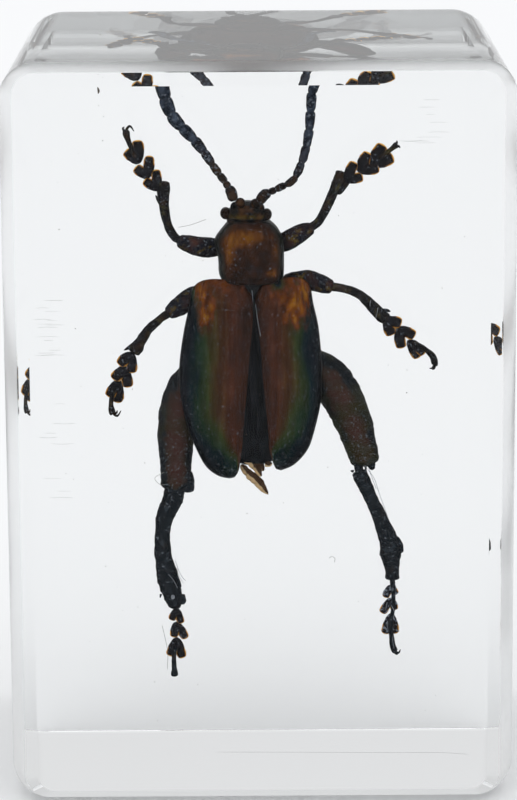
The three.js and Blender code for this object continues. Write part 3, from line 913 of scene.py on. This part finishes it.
# Femur, tibia and teeth are lists of (x, z, half width, half thickness) at the depth LIMB_Y. A row
# that lies elsewhere has its own y before its half thickness. Teeth are the spurs, knees and torn
# ends that stand on the tibia. A tarsal lobe is where it joins, its two tips and its half width.
# A claw segment is a path of (x, z, half width), and its hooks are paths of (x, z).
LEGS = {
    "fore_left": {
        "femur": ((-2.10, 31.75, 0.48, 6.3, 0.42), (-2.90, 31.75, 0.60, 6.0, 0.50),
                  (-3.60, 31.82, 0.62, 0.52), (-4.30, 32.02, 0.52, 0.46), (-4.95, 32.24, 0.36, 0.36)),
        "tibia": ((-4.78, 32.22, 0.24, 0.24), (-5.10, 32.45, 0.26, 0.26), (-5.44, 33.00, 0.27, 0.26),
                  (-5.65, 33.80, 0.29, 0.27), (-5.74, 34.60, 0.33, 0.28), (-5.74, 35.30, 0.40, 0.28),
                  (-5.74, 35.88, 0.36, 0.24)),
        "teeth": (((-5.90, 34.45, 0.12, 0.10), (-6.08, 34.75, 0.10, 0.08),
                   (-6.22, 35.02, 0.03, 0.03)),),
        "lobes": (((-6.05, 35.30), (-6.20, 36.60), (-6.90, 35.95), 0.30),
                  ((-6.65, 36.05), (-6.55, 37.45), (-7.42, 36.75), 0.32),
                  ((-7.20, 36.95), (-7.26, 38.40), (-7.95, 37.80), 0.36)),
        "claw": ((-7.35, 37.30, 0.16), (-7.60, 37.85, 0.15), (-7.82, 38.40, 0.15), (-7.93, 38.80, 0.23),
                 (-7.90, 39.05, 0.18)),
        "hooks": (((-7.95, 39.02), (-7.70, 39.25), (-7.45, 38.92)),
                  ((-7.95, 38.85), (-8.12, 39.10), (-8.02, 39.22))),
    },
    "fore_right": {
        "femur": ((0.95, 31.83, 0.50, 6.3, 0.42), (1.60, 32.08, 0.60, 6.0, 0.50),
                  (2.15, 32.40, 0.60, 0.50), (2.75, 32.75, 0.50, 0.44), (3.28, 32.98, 0.34, 0.34)),
        "tibia": ((3.12, 32.95, 0.26, 0.24), (3.66, 33.40, 0.27, 5.9, 0.24),
                  (4.10, 34.25, 0.28, 6.0, 0.26), (4.49, 35.05, 0.31, 6.1, 0.28),
                  (4.84, 35.80, 0.38, 6.2, 0.28), (5.04, 36.35, 0.36, 6.2, 0.26)),
        "teeth": (((4.75, 34.95, 0.14, 6.1, 0.10), (5.02, 35.32, 0.20, 6.1, 0.10),
                   (5.30, 35.62, 0.17, 6.1, 0.07), (5.50, 35.72, 0.04, 6.1, 0.04)),),
        "lobes": (((5.20, 35.80), (5.79, 36.98), (6.27, 36.10), 0.32),
                  ((5.95, 36.38), (6.62, 37.56), (7.26, 36.60), 0.34),
                  ((6.75, 36.75), (7.48, 38.05), (8.12, 37.25), 0.40)),
        "claw": ((7.10, 37.15, 0.15), (7.65, 37.50, 0.15), (8.00, 37.78, 0.15), (8.25, 37.98, 0.20),
                 (8.34, 38.05, 0.15)),
        "hooks": (((8.22, 38.00), (8.30, 38.15), (8.30, 38.28)),
                  ((8.25, 37.95), (8.42, 37.92), (8.50, 37.80))),
    },
    "middle_left": {
        "femur": ((-3.40, 28.84, 0.60, 6.3, 0.45), (-4.10, 28.64, 0.64, 6.1, 0.50),
                  (-4.70, 28.23, 0.62, 6.0, 0.48), (-5.20, 27.90, 0.52, 5.9, 0.42),
                  (-5.62, 27.64, 0.36, 0.34)),
        "tibia": ((-5.40, 27.78, 0.26, 0.24), (-5.85, 27.49, 0.25, 0.24), (-6.35, 27.08, 0.26, 0.25),
                  (-6.80, 26.64, 0.28, 0.26), (-7.20, 26.04, 0.33, 0.26), (-7.50, 25.57, 0.42, 0.26),
                  (-7.72, 25.22, 0.34, 0.22)),
        "teeth": (((-7.55, 25.80, 0.22, 0.10), (-7.90, 25.62, 0.14, 0.07),
                   (-8.28, 25.42, 0.03, 0.03)),),
        "lobes": (((-7.80, 25.30), (-8.58, 24.50), (-7.82, 23.98), 0.34),
                  ((-8.20, 24.45), (-8.93, 23.58), (-8.05, 23.08), 0.34),
                  ((-8.60, 23.60), (-9.24, 22.50), (-8.68, 22.12), 0.34)),
        "claw": ((-8.85, 23.20, 0.16), (-9.02, 22.60, 0.15), (-9.10, 22.05, 0.15), (-9.04, 21.60, 0.22),
                 (-8.96, 21.45, 0.17)),
        "hooks": (((-8.98, 21.48), (-8.72, 21.34), (-8.48, 21.68)),
                  ((-8.98, 21.55), (-8.78, 21.52), (-8.72, 21.70))),
    },
    "middle_right": {
        "femur": ((1.40, 29.60, 0.36, 6.4, 0.42), (2.20, 29.70, 0.50, 6.2, 0.46),
                  (2.90, 29.70, 0.60, 6.1, 0.48), (3.45, 29.56, 0.60, 6.0, 0.48),
                  (4.00, 29.38, 0.52, 5.9, 0.44), (4.50, 29.26, 0.38, 0.36)),
        "tibia": ((4.32, 29.30, 0.26, 0.24), (5.00, 29.20, 0.26, 0.24), (5.60, 29.03, 0.27, 0.25),
                  (6.15, 28.73, 0.29, 0.26), (6.63, 28.28, 0.33, 0.26), (7.12, 27.78, 0.37, 0.26),
                  (7.50, 27.40, 0.40, 0.25), (7.72, 27.16, 0.30, 0.22)),
        "teeth": (((7.45, 27.75, 0.16, 0.09), (7.72, 27.80, 0.12, 0.07), (7.95, 27.72, 0.04, 0.04)),),
        "lobes": (((7.60, 27.30), (8.62, 26.98), (8.05, 26.25), 0.36),
                  ((8.38, 26.75), (9.45, 26.22), (8.60, 25.42), 0.34),
                  ((9.00, 25.95), (10.05, 25.12), (9.66, 24.82), 0.32)),
        "claw": ((9.25, 25.85, 0.16), (9.75, 25.60, 0.15), (10.15, 25.32, 0.15), (10.50, 24.95, 0.20),
                 (10.64, 24.50, 0.20), (10.62, 24.38, 0.14)),
        "hooks": (((10.62, 24.42), (10.50, 24.22), (10.30, 24.20)),
                  ((10.64, 24.40), (10.60, 24.20), (10.48, 24.10))),
    },
    "hind_left": {
        "femur": ((-2.90, 24.60, 0.50, 6.9, 0.50), (-3.80, 24.05, 0.80, 6.7, 0.75),
                  (-4.60, 23.00, 1.05, 6.5, 0.90), (-5.00, 21.60, 1.15, 6.4, 0.95),
                  (-5.15, 20.10, 1.14, 6.2, 0.92), (-5.20, 18.60, 1.00, 6.0, 0.82),
                  (-5.20, 17.30, 0.94, 5.9, 0.72), (-5.26, 16.48, 0.86, 0.60)),
        "tibia": ((-5.22, 17.00, 0.60, 0.42), (-5.34, 16.30, 0.64, 0.44), (-5.52, 15.75, 0.62, 0.42),
                  (-5.83, 15.05, 0.56, 0.40), (-6.04, 14.00, 0.48, 0.38), (-6.06, 13.00, 0.50, 0.38),
                  (-5.97, 12.00, 0.56, 0.40), (-5.76, 10.95, 0.66, 0.42), (-5.55, 10.10, 0.62, 0.40),
                  (-5.40, 9.40, 0.46, 0.34), (-5.44, 8.98, 0.32, 0.28)),
        "teeth": (((-4.62, 17.80, 0.36, 5.9, 0.40), (-4.48, 17.10, 0.40, 5.85, 0.40),
                   (-4.46, 16.42, 0.34, 0.34)),
                  ((-5.34, 11.50, 0.06, 5.5, 0.06), (-5.16, 10.95, 0.12, 5.5, 0.12),
                   (-4.98, 10.40, 0.10, 5.6, 0.10)),
                  ((-5.00, 9.95, 0.26, 5.6, 0.24), (-4.90, 9.55, 0.26, 5.6, 0.24),
                   (-4.92, 9.30, 0.14, 5.6, 0.14)),
                  ((-6.20, 9.95, 0.08, 0.06), (-6.26, 9.70, 0.03, 0.03))),
        "lobes": (((-5.25, 9.05), (-5.58, 8.25), (-4.96, 8.03), 0.24),
                  ((-5.30, 8.15), (-5.44, 7.15), (-4.66, 7.05), 0.28),
                  ((-5.28, 7.15), (-5.66, 5.92), (-4.92, 5.78), 0.31)),
        "claw": ((-5.30, 6.60, 0.13), (-5.42, 6.10, 0.13), (-5.45, 5.60, 0.14), (-5.43, 5.15, 0.17),
                 (-5.42, 4.80, 0.23), (-5.42, 4.62, 0.17)),
        "hooks": (),
    },
    "hind_right": {
        "femur": ((2.20, 24.80, 0.60, 6.9, 0.50), (3.20, 24.40, 0.98, 6.7, 0.75),
                  (4.26, 23.50, 1.22, 6.5, 0.90), (5.06, 22.20, 1.25, 6.3, 0.92),
                  (5.70, 20.75, 1.14, 6.1, 0.85), (6.08, 19.50, 1.00, 6.0, 0.75),
                  (6.36, 18.60, 0.92, 5.9, 0.65), (6.48, 18.02, 0.74, 0.50)),
        "tibia": ((6.00, 17.78, 0.47, 0.34), (6.22, 17.20, 0.46, 0.36), (6.56, 16.45, 0.43, 0.36),
                  (7.02, 15.42, 0.42, 0.37), (7.53, 14.22, 0.51, 0.40), (7.84, 13.30, 0.60, 0.42),
                  (7.99, 12.60, 0.66, 0.42), (8.06, 11.85, 0.52, 0.42), (8.08, 11.30, 0.44, 0.40),
                  (8.08, 10.72, 0.44, 0.34)),
        "teeth": (((8.20, 13.50, 0.26, 0.20), (8.46, 12.95, 0.30, 0.18), (8.56, 12.45, 0.22, 0.10)),
                  ((7.70, 12.70, 0.16, 0.14), (7.44, 12.44, 0.10, 0.10), (7.28, 12.36, 0.03, 0.04)),
                  ((5.72, 17.70, 0.10, 0.10), (5.52, 17.74, 0.05, 0.05)),
                  ((6.02, 18.65, 0.42, 0.36), (6.00, 18.10, 0.30, 0.28), (6.08, 17.65, 0.26, 0.22)),
                  ((6.72, 18.30, 0.34, 0.30), (6.86, 17.98, 0.22, 0.22), (6.98, 17.86, 0.10, 0.10)),
                  ((6.42, 18.20, 0.10, 5.7, 0.10), (6.44, 17.80, 0.06, 5.7, 0.06),
                   (6.34, 17.50, 0.05, 5.7, 0.05))),
        "lobes": (((7.95, 10.45), (7.66, 9.62), (8.33, 9.80), 0.24),
                  ((8.03, 9.62), (7.44, 8.62), (8.25, 8.80), 0.25),
                  ((8.02, 8.62), (7.62, 7.28), (8.26, 7.27), 0.29)),
        "claw": ((8.06, 10.95, 0.20), (8.14, 10.30, 0.15), (8.16, 9.70, 0.13), (8.14, 9.00, 0.13),
                 (8.04, 8.30, 0.13), (8.00, 7.60, 0.13), (8.05, 7.05, 0.16), (8.12, 6.55, 0.20),
                 (8.24, 6.22, 0.20), (8.34, 6.10, 0.13)),
        "hooks": (((8.25, 6.15), (8.48, 6.08), (8.60, 6.30)),
                  ((8.22, 6.18), (8.36, 6.00), (8.52, 6.12))),
    },
}


HOOK_HALF_WIDTHS = (0.09, 0.07, 0.02)


def petal(base, tip, half_width, y):
    """One half of a heart-shaped lobe: a flat drop from base to tip, widest past its middle.
    Its edge value goes to 1 at its sides and at its tip."""
    start, end = np.array(base), np.array(tip)
    controls = [
        (*(start + (end - start) * share), half_width * wide, y, 0.02 + 0.13 * wide)
        for share, wide in ((0.0, 0.45), (0.3, 0.84), (0.6, 1.04), (0.85, 0.98), (1.0, 0.66))
    ]
    seed = int(start[0] * 10) + 300
    points, quads, triangles, values = limb(
        controls, 34, 28, cap=0.14, power=1.9, rough=0.05, seed=seed)
    sides = values["rim"] ** 1.2 * eased(values["along"], 0.15, 0.6)
    return points, quads, triangles, {"edge": np.maximum(sides, eased(values["along"], 0.66, 1.0))}


def lobe_core(base, tip_a, tip_b, half_width, y):
    """The solid middle of a heart-shaped lobe, between its two petals and over its joint."""
    start = np.array(base)
    middle = (np.array(tip_a) + np.array(tip_b)) / 2
    centre = start + 0.34 * (middle - start)
    spread = np.linalg.norm(np.array(tip_a) - np.array(tip_b)) / 2
    reach = 0.42 * (half_width + 0.55 * spread)
    points, quads, triangles, values = ball((centre[0], y - 0.03, centre[1]), (reach, 0.17, reach))
    return points, quads, triangles, {"edge": 0.45 * values["rim"] ** 4}


def at_depth(rows):
    """The rows with LIMB_Y put in as y where they have none."""
    return [row if len(row) == 5 else (*row[:3], LIMB_Y, row[3]) for row in rows]


def build_leg(name, leg, thigh, shin, sole):
    """The pieces of one leg: femur, tibia with its teeth, tarsal lobes, and claw segment."""
    seed = sum(map(ord, name))
    femur = [limb(at_depth(leg["femur"]), 90, 32, 0.08, rough=0.025, seed=seed)]
    tibia = [limb(at_depth(leg["tibia"]), 90, 28, 0.04, rough=0.05, seed=seed + 1)]
    for tooth in leg["teeth"]:
        tibia.append(limb(at_depth(tooth), 24, 16, 0.12, rough=0.06, seed=seed + 2))
    lobes = []
    for base, tip_a, tip_b, half_width in leg["lobes"]:
        lobes.append(petal(base, tip_a, half_width, TARSUS_Y - 0.02))
        lobes.append(petal(base, tip_b, half_width, TARSUS_Y + 0.05))
        lobes.append(lobe_core(base, tip_a, tip_b, half_width, TARSUS_Y))
    claw_y = TARSUS_Y - 0.1
    rows = [(x, z, half, claw_y, half) for x, z, half in leg["claw"]]
    claw = [limb(rows, 40, 14, 0.08, rough=0.06, seed=seed + 3)]
    for hook in leg["hooks"]:
        rows = [(x, z, half, claw_y, half) for (x, z), half in zip(hook, HOOK_HALF_WIDTHS)]
        claw.append(limb(rows, 20, 10, 0.1))
    for part, shells, material in (("femur", femur, thigh), ("tibia", tibia, shin),
                                   ("lobes", lobes, sole), ("claw", claw, shin)):
        piece("leg_" + name + "_" + part, shells, material)


# ---------------------------------------------------------------- flaws in the resin

def specks(material):
    """Fine dust in the resin: small six-sided grains at seeded places, all in one mesh."""
    random = np.random.default_rng(11)
    count = 110
    middle = np.stack((random.uniform(-12.5, 12.5, count), random.uniform(-8.5, 8.5, count),
                       random.uniform(3.0, 42.0, count)), axis=-1)
    size = random.uniform(0.012, 0.030, (count, 1, 1)) * random.uniform(0.6, 1.6, (count, 1, 3))
    corners = np.array(((1, 0, 0), (-1, 0, 0), (0, 1, 0), (0, -1, 0), (0, 0, 1), (0, 0, -1)), float)
    points = (middle[:, None, :] + corners[None] * size).reshape(-1, 3)
    sides = np.array(((0, 2, 4), (2, 1, 4), (1, 3, 4), (3, 0, 4),
                      (2, 0, 5), (1, 2, 5), (3, 1, 5), (0, 3, 5)))
    triangles = (np.arange(count)[:, None, None] * 6 + sides[None]).reshape(-1, 3)
    shell = (points, np.empty((0, 4), int), triangles, {})
    return piece("resin_dust", [shell], material)


# Fine hairs caught in the resin, as paths of (x, z, y).
HAIRS = (
    ((-6.14, 8.28, 4.2), (-5.95, 7.40, 4.2), (-5.80, 6.46, 4.2), (-5.84, 5.38, 4.2)),
    ((-4.85, 33.27, 4.0), (-4.10, 33.42, 4.0), (-3.17, 33.75, 4.0)),
    ((4.16, 12.70, 3.0), (4.25, 12.79, 3.0), (4.39, 12.79, 3.0), (4.51, 12.67, 3.0), (4.48, 12.43, 3.0)),
    ((-5.87, 17.92, 4.8), (-6.46, 17.55, 4.8), (-6.17, 17.13, 4.8), (-5.82, 17.13, 4.8)),
)
# Fields of rub marks as (x from, x to, z from, z to, count). They and the line that the last pour
# has left near the base lie at RUB_Y, just behind the front face.
RUB_Y = FRONT_Y + 0.12
RUBBED_FIELDS = (
    (-12.6, -11.8, 27.2, 31.2, 14), (8.6, 10.4, 40.0, 42.6, 9), (-12.4, -11.4, 19.0, 25.0, 8))
POUR_LINE = (
    (-2.80, 3.28, RUB_Y), (2.00, 3.24, RUB_Y), (7.50, 3.18, RUB_Y), (10.50, 3.16, RUB_Y),
    (12.30, 3.04, RUB_Y))
# Pale scratches and torn skin along the beetle, as paths of (x, z, y). The line on the scutellum and the
# five on the hind right tarsal lobes are painted highlights.
SCRATCHES_AND_PAINTED_GLINTS = (
    ((6.74, 28.50, 5.42), (6.70, 28.30, 5.42), (6.70, 28.10, 5.44)),
    ((7.17, 28.02, 5.42), (7.12, 27.70, 5.42), (7.04, 27.38, 5.44)),
    ((-0.24, 28.60, 3.42), (-0.12, 27.60, 3.42), (0.05, 26.60, 3.42)),
    # Painted highlight on the scutellum.
    ((-0.46, 29.42, 3.66), (-0.42, 29.10, 3.62), (-0.40, 28.72, 3.60)),
    ((-5.30, 12.25, 5.35), (-5.10, 11.60, 5.32), (-4.86, 11.10, 5.36), (-4.66, 10.86, 5.42)),
    ((-5.20, 11.70, 5.30), (-5.06, 11.20, 5.30), (-4.80, 10.70, 5.36)),
    ((-5.70, 11.30, 5.32), (-5.40, 10.90, 5.30), (-5.16, 10.40, 5.34)),
    ((6.50, 17.95, 5.6), (6.95, 17.30, 5.6), (7.25, 16.40, 5.6), (7.60, 15.40, 5.6), (7.84, 14.70, 5.6)),
    ((6.60, 18.05, 5.7), (6.80, 17.40, 5.7), (7.10, 16.60, 5.7)),
    ((6.30, 18.30, 5.5), (6.46, 18.00, 5.5), (6.40, 17.70, 5.5)),
    # Painted highlights on the hind right tarsal lobes.
    ((8.24, 10.60, 5.42), (8.32, 10.20, 5.42), (8.26, 9.80, 5.42)),
    ((7.76, 9.40, 5.42), (7.72, 9.15, 5.42), (7.66, 8.90, 5.42)),
    ((8.02, 9.20, 5.42), (8.20, 8.80, 5.42), (8.16, 8.30, 5.42)),
    ((7.80, 8.20, 5.42), (7.76, 7.90, 5.42), (7.84, 7.55, 5.42)),
    ((8.12, 7.20, 5.42), (8.12, 6.80, 5.42), (8.20, 6.40, 5.42)),
)
HAIR_RADIUS, POUR_LINE_RADIUS, SCRATCH_RADIUS = 0.012, 0.006, 0.014


def threads(name, paths, radius, material):
    """Thin round threads along the paths."""
    shells = [limb([(x, z, radius, y, radius) for x, z, y in path], 40, 6, 0.05) for path in paths]
    return piece(name, shells, material)


def rub_marks(material):
    """Faint level rub marks just behind the front face, in small fields. Each is a short thread
    at a seeded place, a quarter to a half as thick as a hair."""
    random = np.random.default_rng(23)
    shells = []
    for low_x, high_x, low_z, high_z, count in RUBBED_FIELDS:
        for _ in range(count):
            x, z = random.uniform(low_x, high_x), random.uniform(low_z, high_z)
            half = random.uniform(0.25, 0.75)
            radius = random.uniform(0.003, 0.006)
            drop = random.uniform(-0.05, 0.05)
            path = [(x - half, z, radius, RUB_Y, radius), (x, z + drop, radius, RUB_Y, radius),
                    (x + half, z, radius, RUB_Y, radius)]
            shells.append(limb(path, 12, 4, 0.2))
    return piece("rub_marks", shells, material)


def inclusions(dark, pale):
    """A dark fleck near the top corner, and a small bubble just before a hind leg, a pale ball whose
    colour paints its silvery reflection.
    """
    fleck = limb(((-9.56, 41.82, 0.03, 4.0, 0.03), (-9.50, 41.60, 0.07, 4.0, 0.05),
                  (-9.53, 41.40, 0.03, 4.0, 0.03)), 20, 10, 0.2)
    # The bubble is solid: its pale colour is a painted reflection.
    bubble = ball((-5.46, 5.22, 9.86), (0.12, 0.10, 0.14))
    piece("dark_fleck", [fleck], dark)
    piece("bubble_painted_silver", [bubble], pale)


# ---------------------------------------------------------------- the studio

def build_floor():
    """A plain pale floor, a hair below the base: a polished face rests on only a few points of
    it, and the thin air gap between them is what lets the base reflect."""
    mesh = bpy.data.meshes.new("studio_floor")
    reach = 6.0
    gap = -0.04 * MM
    corners = [(-reach, -reach, gap), (reach, -reach, gap), (reach, reach, gap), (-reach, reach, gap)]
    mesh.from_pydata(corners, [], [(0, 1, 2, 3)])
    material, _, _ = new_material(
        "pale_floor", Base_Color=(0.86, 0.865, 0.87, 1), Roughness=0.9, Specular_IOR_Level=0.1)
    mesh.materials.append(material)
    floor = bpy.data.objects.new("studio_floor", mesh)
    bpy.context.scene.collection.objects.link(floor)


def build_light():
    """One even, soft sky: HORIZON all round, rising with the square of the height to HORIZON +
    OVERHEAD straight above, and a little brighter behind the block than in front of it."""
    world = bpy.data.worlds.new("studio")
    bpy.context.scene.world = world
    world.use_nodes = True
    tree = world.node_tree
    background = tree.nodes["Background"]
    background.inputs["Color"].default_value = (0.985, 0.99, 1.0, 1.0)
    place = tree.nodes.new("ShaderNodeTexCoord")
    split = tree.nodes.new("ShaderNodeSeparateXYZ")
    tree.links.new(place.outputs["Generated"], split.inputs["Vector"])
    height = maths(tree, "MAXIMUM", split.outputs["Z"], 0.0)
    overhead = maths(tree, "MULTIPLY", maths(tree, "POWER", height, 2.0), OVERHEAD)
    behind = maths(tree, "MULTIPLY", split.outputs["Y"], BEHIND)
    sky = maths(tree, "ADD", maths(tree, "ADD", overhead, behind), HORIZON)
    tree.links.new(sky, background.inputs["Strength"])


def build_camera():
    """A long lens, a little above the block and looking down on it by PITCH."""
    ahead = Vector((0.0, math.cos(PITCH), -math.sin(PITCH)))
    right = Vector((1.0, 0.0, 0.0))
    above = right.cross(ahead)
    turned_right = right * math.cos(ROLL) - above * math.sin(ROLL)
    turned_up = above * math.cos(ROLL) + right * math.sin(ROLL)
    place = (AIM - ahead * DISTANCE) * MM
    lens = bpy.data.cameras.new("camera")
    lens.lens = FOCAL_LENGTH
    lens.clip_start = 0.01
    camera = bpy.data.objects.new("camera", lens)
    bpy.context.scene.collection.objects.link(camera)
    axes = Matrix((turned_right, turned_up, -ahead)).transposed().to_4x4()
    camera.matrix_world = Matrix.Translation(place) @ axes
    bpy.context.scene.camera = camera


def build_beetle():
    """The whole beetle, piece by piece."""
    case = wing_case_material()
    collar = collar_material()
    feeler = feeler_material()
    black = chitin_material(
        "black_chitin", (0.013, 0.017, 0.022), (0.040, 0.028, 0.020), (0.036, 0.048, 0.062), 0.44)
    brown = chitin_material(
        "brown_black_chitin", (0.015, 0.014, 0.015), (0.082, 0.042, 0.018), (0.085, 0.070, 0.026), 0.50)
    femur = chitin_material(
        "red_black_chitin", (0.015, 0.015, 0.022), (0.110, 0.040, 0.024), (0.150, 0.095, 0.016), 0.52)
    thigh = thigh_material()
    eye = plain_material(
        "brown_eye", (0.006, 0.005, 0.005), (0.034, 0.017, 0.010), 2.6, Roughness=0.35, **SEALED)
    shield = plain_material(
        "grey_shield", (0.004, 0.005, 0.006), (0.026, 0.026, 0.028), 3.0, Roughness=0.5, **SEALED)
    for side in ("left", "right"):
        wing_case(side, case)
        antenna(side, feeler)
    pronotum(collar)
    head(head_material())
    eyes(eye)
    mouthparts(black)
    scutellum(shield)
    abdomen(body_material())
    wing_scraps(dry_wing_material())
    clean = lobe_material("amber_edged_lobes", 0.55, 0.61)
    # The hind right lobes carry more frost: partly pale frost, partly their pale highlights, painted.
    frosted = lobe_material("frost_and_painted_highlight_lobes", 1.0, 0.53)
    for name, leg in LEGS.items():
        hind = name.startswith("hind")
        sole = frosted if name == "hind_right" else clean
        build_leg(name, leg, thigh if hind else femur, black if hind else brown, sole)


def build_flaws():
    """Dust, hairs, scratches, painted glints and small inclusions."""
    hair = plain_material("grey_hair", (0.20, 0.19, 0.18), (0.36, 0.35, 0.33), 1.0, Roughness=0.5)
    # white also paints the glints and the bubble's silvery reflection.
    white = plain_material("white_scratch_and_painted_glint", (0.20, 0.23, 0.28), (0.55, 0.58, 0.62), 3.0, Roughness=0.5)
    dust = plain_material("brown_dust", (0.08, 0.07, 0.06), (0.30, 0.25, 0.20), 2.0, Roughness=0.6)
    specks(dust)
    threads("resin_hairs", HAIRS, HAIR_RADIUS, hair)
    threads("pour_line", (POUR_LINE,), POUR_LINE_RADIUS, hair)
    rub_marks(hair)
    threads("pale_scratches_and_painted_glints", SCRATCHES_AND_PAINTED_GLINTS, SCRATCH_RADIUS, white)
    inclusions(dust, white)


build_camera()
build_block(resin_material())
build_beetle()
build_flaws()
build_floor()
build_light()
view = bpy.context.scene.view_settings
view.view_transform = "Standard"
bpy.context.scene.cycles.max_bounces = 24
bpy.context.scene.cycles.glossy_bounces = 16
bpy.context.scene.cycles.transmission_bounces = 20
